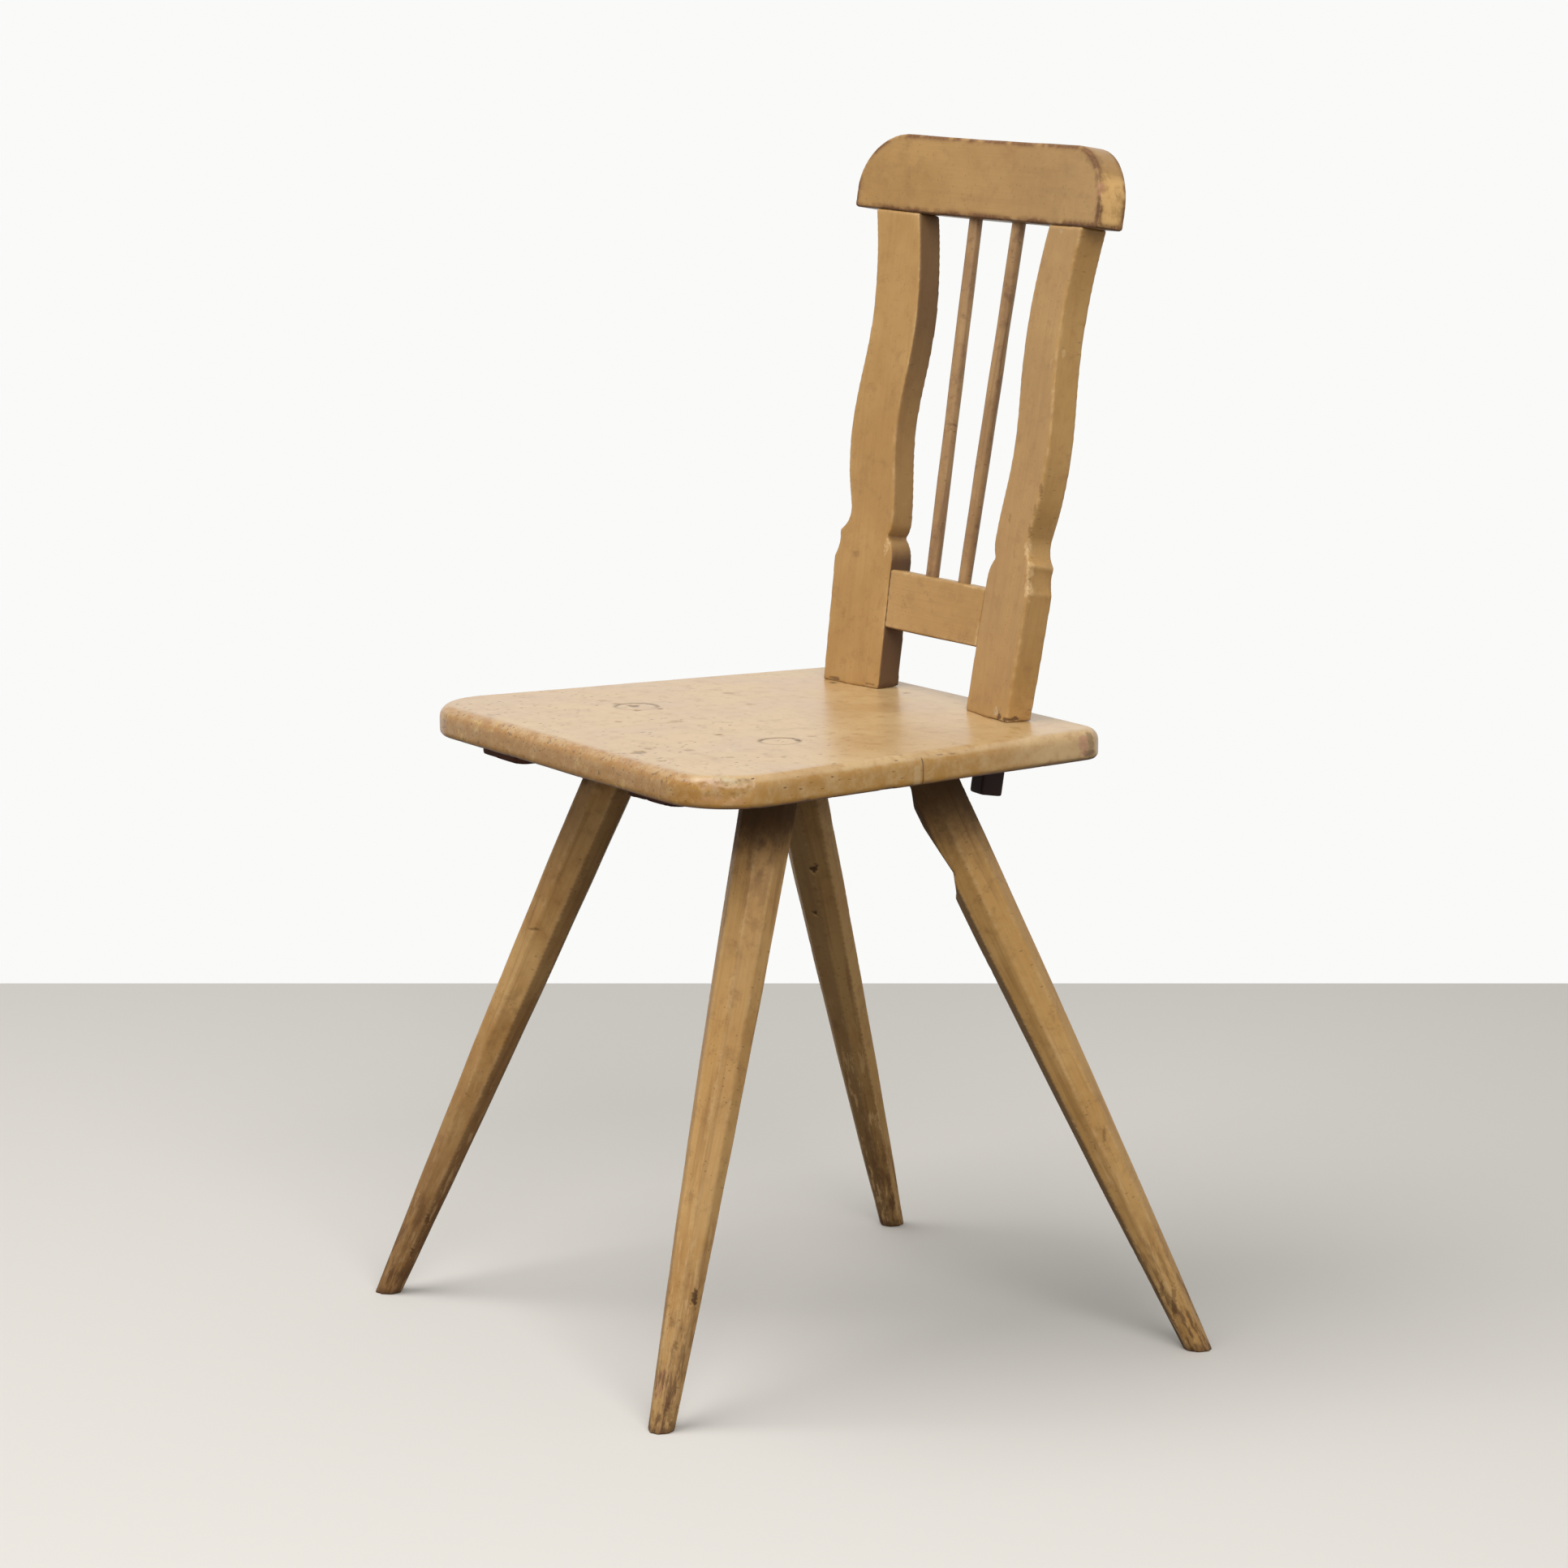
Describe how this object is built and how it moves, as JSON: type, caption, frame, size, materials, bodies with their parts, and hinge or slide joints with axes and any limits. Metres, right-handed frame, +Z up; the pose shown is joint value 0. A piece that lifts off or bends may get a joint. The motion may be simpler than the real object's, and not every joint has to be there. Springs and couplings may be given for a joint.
{
  "type": "wooden board chair",
  "caption": "Rustic wooden side chair: plank seat on splayed eight-sided legs, with a leaning open back of two sawn posts, rails and thin rods.",
  "frame": {"origin": "on the floor, in the middle of the four feet", "axes": "+Z up; the chair faces -Y, its back is at +Y; +X is the sitter's left hand"},
  "size_m": [0.4619, 0.4395, 0.8537],
  "materials": {
    "seat_wood": "worn satin varnish over tan paint",
    "back_wood": "satin varnish over ochre paint",
    "leg_wood": "worn satin varnish, darkened",
    "shaded_wood": "dull, unvarnished",
    "wedge_wood": "end grain under varnish",
    "spindle_wood": "satin varnish, reddish"
  },
  "bodies": {
    "root": {"seat_board_front": "seat_wood", "seat_board_rear": "seat_wood", "batten_left": "shaded_wood", "batten_right": "shaded_wood", "leg_front_left": "leg_wood", "leg_front_right": "leg_wood", "leg_rear_left": "leg_wood", "leg_rear_right": "leg_wood", "leg_wedge_front_left": "wedge_wood", "leg_wedge_front_right": "wedge_wood", "leg_wedge_rear_left": "wedge_wood", "leg_wedge_rear_right": "wedge_wood", "back_post_left": "back_wood", "back_post_right": "back_wood", "post_key_left": "shaded_wood", "post_key_right": "shaded_wood", "cross_rail": "back_wood", "crest_rail": "back_wood", "spindle_left": "spindle_wood", "spindle_right": "spindle_wood"}
  },
  "joints": []
}
